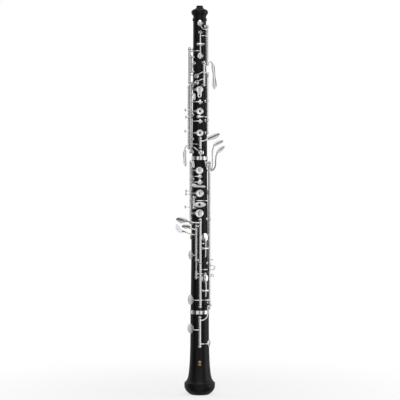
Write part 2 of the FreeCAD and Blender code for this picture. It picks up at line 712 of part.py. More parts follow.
def lower_trill_key():
    pieces = trill_arm(482.0, -23.0, 476.5)
    pieces += arm([cup_top(-23.0, 476.5), above(-37, 4.0, 475.8), above(-50, 3.9, 475.2)],
                  THIN_ARM_RADIUS, THIN_ARM_RADIUS)
    return finish_key("lower_trill_key", pieces, [(488.9, 474.7)])


def trill_lever():
    pieces = arm([on_line("trill_lever", 424.2), above(28, 4.6, 424.2), above(10, 4.1, 424.2),
                  above(-9, 3.9, 424.2)])
    pieces.append(leaf([(-3.4, 424.2), (-1.0, 424.2), (2.0, 424.2)], [1.6, 2.2, 1.2], -15.6))
    pieces += arm([on_line("trill_lever", 486.4), V(12.6, -12.6, 487.6), V(11.4, -15.4, 489.8),
                   V(9.6, -15.6, 491.7)], ARM_RADIUS, THIN_ARM_RADIUS)
    return finish_key("trill_lever", pieces, [(488.0, 450.4), (446.4, 420.8), (416.8, 402.0)])


def right_trill_lever():
    z = 467.8
    pieces = arm([on_line("right_trill", z), polar(-82, 12.6, z), polar(-67, 11.9, z + 0.8),
                  polar(-56, 11.9, z + 3.2), polar(-50, 11.9, z + 7.4)], THIN_ARM_RADIUS, 0.7)
    pieces += arm([on_line("right_trill", 382.0), V(-20.2, -1.6, 380.6), V(-22.4, -2.2, 374.5)])
    pieces.append(leaf([(-22.4, 375.0), (-22.9, 366.0), (-22.3, 357.0), (-21.4, 350.5)],
                       [1.6, 2.4, 2.4, 1.8], -3.0))
    return finish_key("right_trill_lever", pieces, [(468.6, 426.0), (422.0, 379.6)])


def half_hole_key():
    pieces = stack_arms("half_hole_key")
    tail = leaf([(0.3, 463.6), (0.3, 459.0), (0.3, 455.6)], [2.4, 3.2, 2.8], -13.3, 1.2)
    window = Part.makeCylinder(1.25, 10, V(0.3, -18, 456.6), V(0, 1, 0))
    pieces.append(tail.cut(window))
    pieces += arm([on_line("upper_left", 458.6), V(-12.0, -11.6, 458.4), V(-7.8, -13.2, 457.0)])
    pieces.append(leaf([(-7.9, 458.6), (-8.0, 454.5), (-7.8, 450.6)], [1.5, 1.9, 1.3], -14.2))
    return finish_key("half_hole_key", pieces, [(471.4, 455.8)])


def left_second_key():
    pieces = stack_arms("left_second_key") + adjusting_arm("upper_left", 441.0, 3.6)
    pieces += adjusting_arm("upper_left", 435.0, 8.2)
    return finish_key("left_second_key", pieces, [(455.4, 429.9)])


def left_third_key():
    pieces = stack_arms("left_third_key") + adjusting_arm("upper_left", 424.2, 7.2)
    pieces += adjusting_arm("upper_left", 410.6, 3.4) + adjusting_arm("upper_left", 402.8, 8.4)
    return finish_key("left_third_key", pieces, [(425.7, 392.7)])


def g_sharp_cup_key():
    pieces = arm([on_line("upper_left", 378.6), above(-45, 4.1, 379.0), above(-21, 4.1, 375.2),
                  cup_top(10, 369.8)], ARM_RADIUS, THIN_ARM_RADIUS)
    pieces += arm([on_line("upper_left", 383.0), above(-45, 4.3, 383.0), above(-17, 4.4, 382.4)],
                  ARM_RADIUS, THIN_ARM_RADIUS)
    pieces += arm([cup_top(10, 369.8), V(0.8, -15.2, 363.6)], THIN_ARM_RADIUS, THIN_ARM_RADIUS)
    return finish_key("g_sharp_cup_key", pieces, [(388.6, 372.8)])


def g_sharp_lever():
    pieces = arm([on_line("g_sharp", 387.0), V(6.2, -15.0, 387.4), V(12.0, -11.9, 390.5)])
    pieces.append(leaf([(11.6, 390.2), (17.0, 392.4), (23.0, 394.8), (28.0, 397.2)],
                       [2.2, 3.6, 4.0, 2.8], -12.8))
    pieces += arm([on_line("g_sharp", 382.4), V(-2.0, -14.0, 382.4), polar(-22, 13.1, 382.4)],
                  ARM_RADIUS, THIN_ARM_RADIUS)
    return finish_key("g_sharp_lever", pieces, [(389.0, 378.6)])


def left_b_lever():
    pieces = arm([on_line("left_b", 344.6), V(18.2, -9.0, 345.0), V(19.6, -9.8, 351.0),
                  V(19.6, -10.0, 363.0), V(20.4, -10.2, 375.4), V(24.5, -10.1, 382.7)],
                 ARM_RADIUS, TOUCH_ARM_RADIUS)
    pieces.append(leaf([(22.6, 381.6), (27.0, 384.2), (31.0, 386.0), (33.6, 386.9)],
                       [2.2, 3.1, 3.1, 2.4], -11.2))
    pieces += arm([on_line("left_b", 340.6), polar(52, 15.6, 342.4), polar(41, 14.6, 349.0),
                   polar(31, 14.6, 357.6)], THIN_ARM_RADIUS, THIN_ARM_RADIUS)
    pieces += arm([on_line("left_b", 196.6), V(19.6, -9.4, 197.4), V(23.4, -9.8, 195.6),
                   V(21.6, -9.6, 192.2), V(18.6, -9.0, 190.8)], THIN_ARM_RADIUS, THIN_ARM_RADIUS)
    pieces += arm([on_line("left_b", 206.4), V(19.6, -8.4, 206.4)], THIN_ARM_RADIUS, ARM_RADIUS)
    eye = Part.makeTorus(1.9, 0.6, V(19.4, -8.0, 182.4), V(0, 1, 0))
    pieces += arm([on_line("left_b", 182.4), V(17.5, -8.0, 182.4)], THIN_ARM_RADIUS, 0.5) + [eye]
    pieces += arm([on_line("left_b", 145.2), polar(47, 16.2, 145.2)], ARM_RADIUS, THIN_ARM_RADIUS)
    return finish_key("left_b_lever", pieces, [(352.1, 270.6), (266.4, 203.1), (198.9, 143.1)])


def left_b_flat_lever():
    pieces = arm([on_line("left_b_flat", 342.6), V(19.6, 5.2, 343.4), V(23.4, 1.2, 347.6),
                  V(24.4, -4.2, 357.0), V(25.6, -7.4, 366.0), V(29.0, -8.0, 372.4)],
                 ARM_RADIUS, TOUCH_ARM_RADIUS)
    pieces.append(leaf([(27.6, 371.0), (31.0, 374.0), (34.0, 376.4), (36.2, 378.0)],
                       [2.4, 3.3, 3.1, 2.3], -9.2))
    pieces += arm([on_line("left_b_flat", 136.2), polar(88, 17.7, 136.2), polar(62, 17.7, 136.0),
                   polar(42, 17.3, 135.6)], ARM_RADIUS, THIN_ARM_RADIUS)
    return finish_key("left_b_flat_lever", pieces, [(347.1, 245.1), (240.9, 134.0)])


# ---- Lower joint keys ----------------------------------------------------------------------
def right_first_key():
    pieces = stack_arms("right_first_key")
    pieces += arm([on_line("lower_left", 350.6), V(-12.6, -11.4, 350.9), V(-10.0, -13.6, 351.4)])
    pieces.append(leaf([(-11.0, 356.8), (-9.8, 351.6), (-8.2, 347.4)], [1.7, 2.2, 1.0], -14.4))
    return finish_key("right_first_key", pieces, [(353.1, 331.1)])


def right_second_key():
    pieces = stack_arms("right_second_key")
    pieces += arm([on_line("lower_left", 319.6), V(-13.0, -12.8, 319.8), V(-9.6, -15.2, 320.0)])
    pieces.append(leaf([(-9.6, 320.2), (-4.0, 318.6), (3.0, 318.0), (9.0, 317.8)],
                       [2.4, 1.9, 1.4, 0.9], -16.2))
    pieces += adjusting_arm("lower_left", 311.4, 7.0) + adjusting_arm("lower_left", 306.6, 7.2)
    return finish_key("right_second_key", pieces, [(326.9, 299.3)])


def right_third_key():
    pieces = stack_arms("right_third_key") + adjusting_arm("lower_left", 287.0, 8.2)
    return finish_key("right_third_key", pieces, [(295.1, 264.5)])


def f_key():
    plate = leaf([(-6.6, 290.4), (-2.0, 290.4), (3.0, 290.4), (7.6, 290.4)], [2.4, 3.9, 3.9, 2.4], -15.9)
    plate = plate.cut(Part.makeCylinder(2.0, 10, V(0, -20, 290.6), V(0, 1, 0)))
    pieces = [plate] + arm([on_line("f", 290.6), V(-8.2, -15.0, 290.5), V(-6.4, -15.2, 290.4)])
    pieces += arm([on_line("f", 296.4), above(-12, 4.0, 296.4), above(20, 3.9, 296.4),
                   above(46, 3.6, 296.4)], ARM_RADIUS, THIN_ARM_RADIUS)
    return finish_key("f_key", pieces, [(299.6, 287.6)])


def e_flat_lever():
    pieces = arm([on_line("low_b", 262.8), V(-8.0, -18.8, 263.0), V(-17.0, -15.6, 264.6),
                  V(-26.5, -10.9, 267.0)], ARM_RADIUS, TOUCH_ARM_RADIUS)
    pieces.append(leaf([(-32.2, 268.2), (-28.6, 267.5), (-24.0, 266.6), (-19.6, 265.6)],
                       [3.8, 5.4, 4.1, 1.8], -12.6))
    pieces += arm([on_line("low_b", 231.2), V(5.2, -16.9, 231.2), above(32, 1.75, 231.2)],
                  ARM_RADIUS, THIN_ARM_RADIUS)
    return finish_key("e_flat_lever", pieces, [(265.4, 204.6)])


def c_key():
    pieces = arm([on_line("low_a", 244.4), V(-12.0, -16.8, 245.4), V(-20.0, -13.8, 248.4),
                  V(-27.0, -9.6, 250.4)], ARM_RADIUS, TOUCH_ARM_RADIUS)
    pieces.append(leaf([(-25.0, 249.0), (-29.2, 250.4), (-32.4, 253.9), (-33.8, 258.4)],
                       [1.8, 3.0, 3.3, 2.4], -11.2))
    pieces += arm([on_line("low_a", 213.5), above(-43, 4.5, 213.5), cup_top(-68, 213.5)],
                  ARM_RADIUS, THIN_ARM_RADIUS)
    return finish_key("c_key", pieces, [(249.1, 207.8)])


def c_sharp_key():
    pieces = arm([on_line("low_a", 252.6), V(-10.0, -16.6, 253.2), V(-18.0, -12.1, 256.4)],
                 ARM_RADIUS, TOUCH_ARM_RADIUS)
    pieces.append(leaf([(-24.4, 257.6), (-20.8, 257.6), (-16.2, 257.2)], [3.0, 4.0, 2.4], -13.8))
    pieces += arm([on_line("low_a", 185.2), polar(-6, 15.3, 185.2), polar(3, 15.15, 185.2),
                   polar(16, 15.3, 185.2), above(31, 1.8, 185.2)], THIN_ARM_RADIUS, THIN_ARM_RADIUS)
    return finish_key("c_sharp_key", pieces, [(255.4, 249.4), (189.4, 181.4)])


def low_b_key():
    pieces = arm([on_line("low_b", 145.1), above(-25, 5.2, 145.1), above(-48, 4.6, 145.1),
                  cup_top(-64, 145.1)], ARM_RADIUS, THIN_ARM_RADIUS)
    pieces += arm([on_line("low_b", 145.1), above(26, 5.2, 145.1), polar(48, 19.4, 145.1)])
    pieces += arm([on_line("low_b", 191.6), above(22, 5.2, 191.6), above(42, 4.6, 191.6)],
                  ARM_RADIUS, THIN_ARM_RADIUS)
    return finish_key("low_b_key", pieces, [(200.6, 136.8)])


def b_flat_key():
    _, sense, travel, _ = KEYS["b_flat_key"]
    left_cup, vent_cup = CUPS["b_flat_key"]
    cups = [cup_and_pad(*left_cup[:3], left_cup[4])]
    pieces = arm([on_line("bell", 100.6), above(-20, 5.0, 100.0), above(-40, 4.6, 100.8),
                  cup_top(-60, 101.2)], ARM_RADIUS, THIN_ARM_RADIUS)
    pieces += arm([on_line("bell", 115.0), polar(20, 19.2, 115.2), polar(34, 19.4, 119.0),
                   polar(38, 20.0, 127.0), polar(40, 20.2, 136.4)])
    # The vent cup closes as the large cup opens, so it is seated at the key's rest position.
    vent = list(cup_and_pad(*vent_cup[:3], vent_cup[4]))
    vent_arm = arm([on_line("bell", 78.6), above(24, 4.8, 78.6), above(46, 4.4, 78.6),
                    cup_top(67, 78.6)], ARM_RADIUS, THIN_ARM_RADIUS)
    for shape in vent + vent_arm:
        shape.rotate(on_line("bell", 0), UP, sense * travel)
    return finish_key("b_flat_key", pieces + vent_arm, [(116.8, 76.4)], cups + [tuple(vent)])


# ---- Rocking keys --------------------------------------------------------------------------
def rocker_key(name, tail, tail_height, tab=None):
    """A cup on a lever that rocks on a short hinge across the tube."""
    (azimuth, z, radius, _, kind), = CUPS[name]
    centre, along = hinge_axis(name)
    half = ROCKER_POST_OFFSET - ROCKER_BALL_HALF - 0.35
    hinge = Part.makeCylinder(TUBE_RADIUS, 2 * half, centre - along * half, along)
    bar = arm([cup_top(azimuth, z), above(azimuth, 3.8, (z + centre.z) / 2), centre,
               above(azimuth, (ROCKER_HEIGHT + tail_height) / 2, (tail + centre.z) / 2),
               above(azimuth, tail_height, tail)], ARM_RADIUS, ARM_RADIUS)
    metal, pad = cup_and_pad(azimuth, z, radius, kind)
    extra = arm([cup_top(azimuth, z)] + tab, THIN_ARM_RADIUS, THIN_ARM_RADIUS) if tab else []
    bore = Part.makeCylinder(ROD_RADIUS + ROD_CLEARANCE, 2 * half + 1, centre - along * (half + 0.5), along)
    metal = join([hinge, metal] + bar + extra).cut(bore).cut(pad)
    return {name: metal, name.removesuffix("_key") + "_pads": pad}


def octave_vent_key():
    tail = 552.9
    under = surface_radius(tail) + 3.1
    parts = rocker_key("octave_vent_key", tail - 0.3, 3.6)
    tip = curved_touch(4.0, tail, under, 3.0, 2.3)
    parts["octave_vent_key"] = join([parts["octave_vent_key"], tip])
    cork = curved_touch(4.0, tail, under + TOUCH_THICKNESS, 2.6, 1.9).cut(parts["octave_vent_key"])
    parts["octave_vent_cork"] = cork
    return parts


def e_flat_cup_key():
    return rocker_key("e_flat_cup_key", 211.0, 2.8)


def c_sharp_cup_key():
    return rocker_key("c_sharp_cup_key", 150.6, 2.8, [above(33, 3.9, 182.5), above(32, 3.9, 186.4)])


# ---- Thumb rest ----------------------------------------------------------------------------
def thumb_rest():
    """A saddle plate on the back of the lower joint with a curved hook for the right thumb."""
    low, high = THUMB_REST_Z - THUMB_REST_HALF[1], THUMB_REST_Z + THUMB_REST_HALF[1]
    skin = surface_radius(THUMB_REST_Z) + 0.35
    plate = ring(skin, skin + 1.3, low, high).common(
        Part.makeBox(2 * THUMB_REST_HALF[0], 30, high - low, V(-THUMB_REST_HALF[0], 0, low)))
    root, tip = skin + 0.6, skin + 17.0
    lower = Part.Arc(V(0, root, 306.0), V(0, root + 8, 308.6), V(0, tip, 315.0)).toShape()
    upper = Part.Arc(V(0, tip - 1.4, 316.8), V(0, root + 7.2, 311.2), V(0, root, 309.4)).toShape()
    nose = line(V(0, tip, 315.0), V(0, tip - 1.4, 316.8))
    hook = face_of([lower, nose, upper, line(V(0, root, 309.4), V(0, root, 306.0))])
    hook = hook.extrude(V(11, 0, 0))
    hook.translate(V(-5.5, 0, 0))
    rest = join([plate, hook])
    for screw in thumb_rest_screws().Solids:
        rest = rest.cut(screw)
    return rest


def thumb_rest_screws():
    screws = []
    for offset in THUMB_SCREW_OFFSETS:
        z = THUMB_REST_Z + offset
        skin = surface_radius(THUMB_REST_Z) + 0.35
        head = spun([(0, 0.5), (2.0, 1.3), (2.0, 1.5)], [(2.0, 1.5), (1.2, 1.95), (0, 2.1)])
        shank = Part.makeCylinder(0.9, 4.2, V(0, 0, -3.4))
        slot = Part.makeBox(5, 0.5, 0.6, V(-2.5, -0.25, 1.65))
        screw = join([head, shank]).cut(slot)
        screws.append(placed(screw, radial_place(THUMB_REST_AZIMUTH, z, skin)))
    return Part.makeCompound(screws)


# ---- The instrument ------------------------------------------------------------------------
def keywork():
    makers = [
        side_octave_key, thumb_octave_key, octave_vent_key, third_octave_key, upper_trill_key,
        lower_trill_key, trill_lever, right_trill_lever, half_hole_key, left_second_key,
        left_third_key, g_sharp_cup_key, g_sharp_lever, right_first_key, right_second_key,
        right_third_key, f_key, e_flat_lever, e_flat_cup_key, c_key, c_sharp_key,
        c_sharp_cup_key, low_b_key, left_b_lever, left_b_flat_lever, b_flat_key,
    ]
    pieces = {}
    for maker in makers:
        pieces.update(maker())
    return pieces


def fixed_pieces():
    springs = needle_springs()
    sites = [(centre, post(centre, *rest).cut(springs)) for centre, *rest in post_sites()]
    rods = [line_rod(name) for name in POSTS if name not in PINNED]
    rods += [rocker_rod(name) for name in ROCKERS]
    lower = lower_joint().cut(thumb_rest_screws().Solids)
    return {
        "upper_joint": upper_joint().cut(octave_inserts()),
        "lower_joint": lower,
        "bell": bell(),
        "lower_joint_ring": socket_ring(LOWER_RING_RADIUS, UPPER_SHOULDER),
        "bell_ring": socket_ring(BELL_RING_RADIUS, LOWER_SHOULDER),
        "upper_tenon_cork": tenon_cork(UPPER_SOCKET_RADIUS, UPPER_SHOULDER),
        "lower_tenon_cork": tenon_cork(LOWER_SOCKET_RADIUS, LOWER_SHOULDER),
        "octave_inserts": Part.makeCompound(octave_inserts()),
        "upper_joint_posts": Part.makeCompound([p for c, p in sites if c.z > UPPER_SHOULDER]),
        "lower_joint_posts": Part.makeCompound(
            [p for c, p in sites if LOWER_SHOULDER < c.z < UPPER_SHOULDER]),
        "bell_posts": Part.makeCompound([p for c, p in sites if c.z < LOWER_SHOULDER]),
        "hinge_rods": Part.makeCompound(rods),
        "needle_springs": Part.makeCompound(springs),
        "thumb_rest": thumb_rest(),
        "thumb_rest_screws": thumb_rest_screws(),
    }


def main():
    os.makedirs("parts", exist_ok=True)
    for name, shape in {**fixed_pieces(), **keywork()}.items():
        shape.exportStep(f"parts/{name}.step")


if __name__ == "__main__":
    main()
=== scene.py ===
import json
import math
import random

import bmesh
import bpy
import numpy as np
from mathutils import Matrix, Vector, noise
from mathutils.bvhtree import BVHTree


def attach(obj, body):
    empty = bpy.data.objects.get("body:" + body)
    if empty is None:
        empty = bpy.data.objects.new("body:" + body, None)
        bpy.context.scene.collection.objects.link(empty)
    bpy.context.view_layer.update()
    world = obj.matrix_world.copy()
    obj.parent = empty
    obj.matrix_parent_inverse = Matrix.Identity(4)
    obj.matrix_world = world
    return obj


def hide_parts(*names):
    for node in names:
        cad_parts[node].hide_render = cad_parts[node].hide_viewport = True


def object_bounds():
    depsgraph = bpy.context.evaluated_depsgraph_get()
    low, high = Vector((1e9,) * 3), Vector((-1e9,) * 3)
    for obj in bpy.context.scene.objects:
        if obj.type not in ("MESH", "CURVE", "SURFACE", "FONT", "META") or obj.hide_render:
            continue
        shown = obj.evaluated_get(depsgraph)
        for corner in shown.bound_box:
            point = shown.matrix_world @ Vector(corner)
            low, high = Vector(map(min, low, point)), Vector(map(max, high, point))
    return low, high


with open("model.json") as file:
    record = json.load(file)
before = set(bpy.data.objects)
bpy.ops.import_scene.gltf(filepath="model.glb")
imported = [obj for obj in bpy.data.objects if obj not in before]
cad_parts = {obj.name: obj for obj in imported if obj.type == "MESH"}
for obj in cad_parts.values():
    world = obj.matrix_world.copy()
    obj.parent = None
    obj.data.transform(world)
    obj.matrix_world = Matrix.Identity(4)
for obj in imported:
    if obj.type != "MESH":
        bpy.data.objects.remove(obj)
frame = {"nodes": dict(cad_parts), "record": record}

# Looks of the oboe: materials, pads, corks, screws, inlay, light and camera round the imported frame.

MM = 0.001
cad_low, cad_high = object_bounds()
HEIGHT = cad_high.z - cad_low.z
random.seed(7)


# ---- Node helpers --------------------------------------------------------------------------
class Nodes:
    """A node tree under construction: adds nodes and links them in one call."""

    def __init__(self, tree):
        self.tree = tree

    def add(self, kind, inputs=None, **settings):
        node = self.tree.nodes.new(kind)
        for key, value in settings.items():
            setattr(node, key, value)
        for key, value in (inputs or {}).items():
            self.put(node.inputs[key], value)
        return node

    def put(self, socket, value):
        if isinstance(value, bpy.types.NodeSocket):
            self.tree.links.new(value, socket)
        else:
            socket.default_value = value

    def maths(self, operation, *values):
        return self.add("ShaderNodeMath", dict(enumerate(values)), operation=operation).outputs[0]

    def span(self, value, low, high, start=0.0, end=1.0, interpolation="LINEAR"):
        """Maps a value from start..end onto low..high."""
        node = self.add("ShaderNodeMapRange", {
            "Value": value, "From Min": start, "From Max": end, "To Min": low, "To Max": high},
            interpolation_type=interpolation)
        return node.outputs["Result"]

    def ramp(self, factor, stops):
        node = self.add("ShaderNodeValToRGB", {"Fac": factor})
        band = node.color_ramp
        while len(band.elements) < len(stops):
            band.elements.new(0.5)
        for element, (at, colour) in zip(band.elements, stops):
            element.position = at
            element.color = (*colour, 1.0)
        return node.outputs["Color"]

    def mix(self, factor, a, b):
        node = self.add("ShaderNodeMix", data_type="RGBA")
        self.put(node.inputs[0], factor)
        self.put(node.inputs[6], a)
        self.put(node.inputs[7], b)
        return node.outputs[2]


class Shader(Nodes):
    """A material under construction."""

    def __init__(self, name):
        self.material = bpy.data.materials.new(name)
        self.material.use_nodes = True
        super().__init__(self.material.node_tree)
        self.surface = self.tree.nodes["Principled BSDF"]

    def set(self, **inputs):
        for key, value in inputs.items():
            self.put(self.surface.inputs[key.replace("_", " ")], value)

    def coordinates(self, stretch=(1, 1, 1)):
        place = self.add("ShaderNodeTexCoord").outputs["Object"]
        return self.add("ShaderNodeMapping", {"Vector": place, "Scale": stretch}).outputs["Vector"]

    def noise(self, scale, stretch=(1, 1, 1), detail=4.0, rough=0.55):
        node = self.add("ShaderNodeTexNoise", {
            "Vector": self.coordinates(stretch), "Scale": scale, "Detail": detail, "Roughness": rough})
        return node.outputs["Fac"]

    def bump(self, *layers, edge=0.0):
        """Stacks bump layers of (height, strength, distance in mm) over edges rounded by edge mm."""
        normal = None
        if edge:
            normal = self.add("ShaderNodeBevel", {"Radius": edge * MM}, samples=4).outputs["Normal"]
        for height, strength, distance in layers:
            inputs = {"Height": height, "Strength": strength, "Distance": distance * MM}
            if normal:
                inputs["Normal"] = normal
            normal = self.add("ShaderNodeBump", inputs).outputs["Normal"]
        self.put(self.surface.inputs["Normal"], normal)


def grey(value):
    return (value, value, value)


# ---- Materials -----------------------------------------------------------------------------
def blackwood():
    """Oiled grenadilla: almost black, with fine brown streaks and open pores along the bore."""
    s = Shader("blackwood")
    streaks = s.noise(9, (24, 24, 1.6), 5.0)
    pores = s.noise(60, (26, 26, 1.3), 3.0, 0.7)
    colour = s.ramp(streaks, [(0.30, (0.0030, 0.0028, 0.0029)), (0.55, (0.0052, 0.0046, 0.0043)),
                              (0.74, (0.0120, 0.0082, 0.0062))])
    cloud = s.noise(22, (1, 1, 0.4), 2.0)
    rough = s.maths("ADD", s.span(cloud, 0.27, 0.40), s.span(pores, -0.05, 0.07))
    s.set(Base_Color=colour, Roughness=rough, Specular_IOR_Level=0.20)
    s.bump((pores, 0.22, 0.05), (s.noise(900), 0.05, 0.03))
    return s.material


def plated(name, tint, roughness, tarnish_and_shade):
    """Polished plate over brass: hairline polish, soft dents, random tarnish mottling, and painted shade
    that darkens the corners and gaps between parts towards the tarnish colour.
    """
    s = Shader(name)
    # Ambient occlusion darkens corners and gaps between parts: painted shade, laid on in the same dark
    # colour as the tarnish.
    corners = s.add("ShaderNodeAmbientOcclusion", {"Distance": 1.6 * MM}, samples=6).outputs["AO"]
    shade = s.ramp(corners, [(0.25, tarnish_and_shade), (0.75, tint)])
    mottle = s.noise(320, detail=3.0)
    colour = s.mix(s.span(mottle, 0.0, 0.16), shade, (*tarnish_and_shade, 1.0))
    hairs = s.noise(1500, (1, 1, 0.06), 2.0)
    rough = s.span(mottle, roughness * 0.7, roughness * 1.5)
    s.set(Base_Color=colour, Metallic=1.0, Roughness=rough)
    s.bump((hairs, 0.05, 0.02), (s.noise(160, detail=1.0), 0.10, 0.12), edge=0.14)
    return s.material


def steel():
    """Ground steel with turning marks across the rod."""
    s = Shader("ground_steel")
    marks = s.noise(40, (2, 2, 90), 2.0)
    s.set(Base_Color=s.ramp(marks, [(0.3, (0.33, 0.34, 0.36)), (0.7, (0.55, 0.56, 0.58))]),
          Metallic=1.0, Roughness=s.span(marks, 0.24, 0.42))
    s.bump((marks, 0.25, 0.03))
    return s.material


def cork():
    """Cork with dark lenticels and a crumbly surface."""
    s = Shader("natural_cork")
    cells = s.add("ShaderNodeTexVoronoi", {"Vector": s.coordinates(), "Scale": 1400.0}).outputs["Distance"]
    flecks = s.noise(420, (1, 1, 0.5), 5.0, 0.7)
    base = s.ramp(flecks, [(0.34, (0.20, 0.105, 0.045)), (0.46, (0.47, 0.29, 0.15)),
                           (0.72, (0.66, 0.46, 0.27))])
    s.set(Base_Color=s.mix(s.span(cells, 0.25, 0.0), base, (0.22, 0.12, 0.06, 1.0)),
          Roughness=s.span(flecks, 0.72, 0.92), Specular_IOR_Level=0.25)
    s.bump((cells, 0.35, 0.10), (flecks, 0.4, 0.12))
    return s.material


def pad_skin():
    """Thin bladder skin stretched over felt: warm, slightly shiny, finely creased."""
    s = Shader("pad_skin")
    creases = s.noise(700, (1, 1, 1), 6.0, 0.75)
    stain = s.noise(180, detail=3.0)
    colour = s.ramp(stain, [(0.3, (0.50, 0.33, 0.17)), (0.55, (0.67, 0.49, 0.29)),
                            (0.75, (0.76, 0.61, 0.41))])
    s.set(Base_Color=colour, Roughness=s.span(creases, 0.38, 0.62), Subsurface_Weight=0.08,
          Subsurface_Radius=(0.6 * MM, 0.35 * MM, 0.2 * MM), Coat_Weight=0.25, Coat_Roughness=0.35)
    s.bump((creases, 0.35, 0.08))
    return s.material


MATERIALS = {
    "blackwood": blackwood(),
    "silver_plate": plated("silver_plate", (0.88, 0.885, 0.90), 0.13, (0.36, 0.345, 0.33)),
    "steel": steel(),
    "insert_brass": plated("insert_brass", (0.80, 0.62, 0.30), 0.24, (0.30, 0.20, 0.08)),
    "gilt": plated("gilt", (0.86, 0.60, 0.24), 0.34, (0.42, 0.24, 0.08)),
    "cork": cork(),
    "pad_skin": pad_skin(),
}
SLOT_OF = {part["node"]: part["material_slot"] for part in frame["record"]["subparts"]}


def dress_cad_nodes():
    for name, node in frame["nodes"].items():
        node.data.materials.clear()
        node.data.materials.append(MATERIALS[SLOT_OF[name]])


dress_cad_nodes()


# ---- Mesh helpers --------------------------------------------------------------------------
BEHAVIOUR = frame["record"]["behaviour"]
BODY_OF = {node: body for body, nodes in BEHAVIOUR["bodies"].items() for node in nodes}
ROOT = BODY_OF["bell"]
WELD = 0.002 * MM


def loose_parts(node):
    """The vertices of each separate shell of a CAD node, always in the same order."""
    mesh = bmesh.new()
    mesh.from_mesh(frame["nodes"][node].data)
    bmesh.ops.remove_doubles(mesh, verts=mesh.verts, dist=WELD)
    left, parts = set(mesh.verts), []
    for first in mesh.verts:
        if first not in left:
            continue
        left.remove(first)
        stack, found = [first], []
        while stack:
            vert = stack.pop()
            found.append(vert.co.copy())
            for edge in vert.link_edges:
                other = edge.other_vert(vert)
                if other in left:
                    left.remove(other)
                    stack.append(other)
        parts.append(found)
    mesh.free()
    return parts


class Disc:
    """Centre, outward axis, radius and thickness of a flat round shell of a CAD node."""

    def __init__(self, points):
        low = Vector(min(p[i] for p in points) for i in range(3))
        high = Vector(max(p[i] for p in points) for i in range(3))
        self.centre = (low + high) / 2
        spread = np.cov(np.array([list(p - self.centre) for p in points]).T)
        values, vectors = np.linalg.eigh(spread)
        self.axis = Vector(vectors[:, 0]).normalized()
        if self.axis.dot(Vector((self.centre.x, self.centre.y, 0))) < 0:
            self.axis.negate()
        heights = [(p - self.centre).dot(self.axis) for p in points]
        self.thickness = max(heights) - min(heights)
        reach = [((p - self.centre) - self.axis * h).length for p, h in zip(points, heights)]
        self.radius, self.hole = max(reach), min(reach)

    def turn(self):
        """Rotation that stands local Z on the disc's axis, local Y up the instrument."""
        side = Vector((0, 0, 1)).cross(self.axis).normalized()
        up = self.axis.cross(side)
        return Matrix((side, up, self.axis)).transposed()


def piece(name, mesh_maker, material, smooth=True):
    """A new mesh object whose geometry is written in the frame's own coordinates."""
    mesh = bmesh.new()
    mesh_maker(mesh)
    bmesh.ops.recalc_face_normals(mesh, faces=mesh.faces)
    data = bpy.data.meshes.new(name)
    mesh.to_mesh(data)
    mesh.free()
    data.polygons.foreach_set("use_smooth", [smooth] * len(data.polygons))
    data.materials.append(material)
    thing = bpy.data.objects.new(name, data)
    bpy.context.collection.objects.link(thing)
    return thing


def lathe(mesh, profile, centre, turn, segments, wobble=None):
    """Adds a closed ring of revolution. A profile point is (radius, height); radius 0 makes a pole."""
    rings = []
    for radius, height in profile:
        if radius == 0:
            rings.append([mesh.verts.new(centre + turn @ Vector((0, 0, height)))])
            continue
        loop = []
        for i in range(segments):
            angle = 2 * math.pi * i / segments
            lift = wobble(angle, radius) if wobble else 0
            spot = Vector((radius * math.cos(angle), radius * math.sin(angle), height + lift))
            loop.append(mesh.verts.new(centre + turn @ spot))
        rings.append(loop)
    pairs = list(zip(rings, rings[1:]))
    if len(rings[0]) > 1 and len(rings[-1]) > 1:
        pairs.append((rings[-1], rings[0]))
    for a, b in pairs:
        for i in range(segments):
            j = (i + 1) % segments
            if len(a) == 1 and len(b) > 1:
                mesh.faces.new((a[0], b[i], b[j]))
            elif len(b) == 1 and len(a) > 1:
                mesh.faces.new((a[i], b[0], a[j]))
            elif len(a) > 1:
                mesh.faces.new((a[i], b[i], b[j], a[j]))


def close_layers(mesh, layers, rows, columns):
    """Faces over two matching grids of vertices, and round the edge between them."""
    row = columns + 1
    for i in range(rows):
        for j in range(columns):
            a = i * row + j
            for layer in layers:
                mesh.faces.new((layer[a], layer[a + 1], layer[a + row + 1], layer[a + row]))
    rim = list(range(row))
    rim += [i * row + columns for i in range(1, rows + 1)]
    rim += [rows * row + j for j in range(columns - 1, -1, -1)]
    rim += [i * row for i in range(rows - 1, 0, -1)]
    top, bottom = layers
    for a, b in zip(rim, rim[1:] + rim[:1]):
        mesh.faces.new((top[a], top[b], bottom[b], bottom[a]))


def install(thing, body, replaced=None):
    """Rides a new piece on its body, in place of a CAD node where one is given."""
    if replaced:
        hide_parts(replaced)
    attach(thing, body)


# ---- Pads and corks ------------------------------------------------------------------------
PAD_EDGE = 0.16 * MM
PAD_SEGMENTS = 56
PIERCED = 0.2           # a pad is a ring when its hole is wider than this share of it
SKIN_DIP = 0.02 * MM    # how far the skin's middle lies behind the pad's face
SEAT = 0.62             # radius of the tone hole's mark, as a share of the pad
SEAT_DEPTH = 0.10 * MM
EDGE_ROLL = 0.32 * MM
CREASES = 11
CREASE_DEPTH = 0.018 * MM


def pad_profile(disc):
    """Skin over felt: crowned towards the wood, with a seat mark and a rolled edge."""
    back, face, outer = disc.thickness / 2, -disc.thickness / 2, disc.radius
    seat = outer * SEAT
    rim = [
        (seat * 0.75, face + SKIN_DIP / 2),
        (seat * 0.96, face + SEAT_DEPTH),
        (seat * 1.05, face + SEAT_DEPTH),
        (seat * 1.22, face + SKIN_DIP / 2),
        (outer - 2 * PAD_EDGE, face + SKIN_DIP),
        (outer - 0.6 * PAD_EDGE, face + SEAT_DEPTH),
        (outer, face + EDGE_ROLL),
        (outer, back - 0.05 * MM),
    ]
    if disc.hole > PIERCED * outer:
        return rim + [(disc.hole, back), (disc.hole + 0.1 * MM, face + SKIN_DIP)]
    return [(0, face + SKIN_DIP)] + rim + [(0, back)]


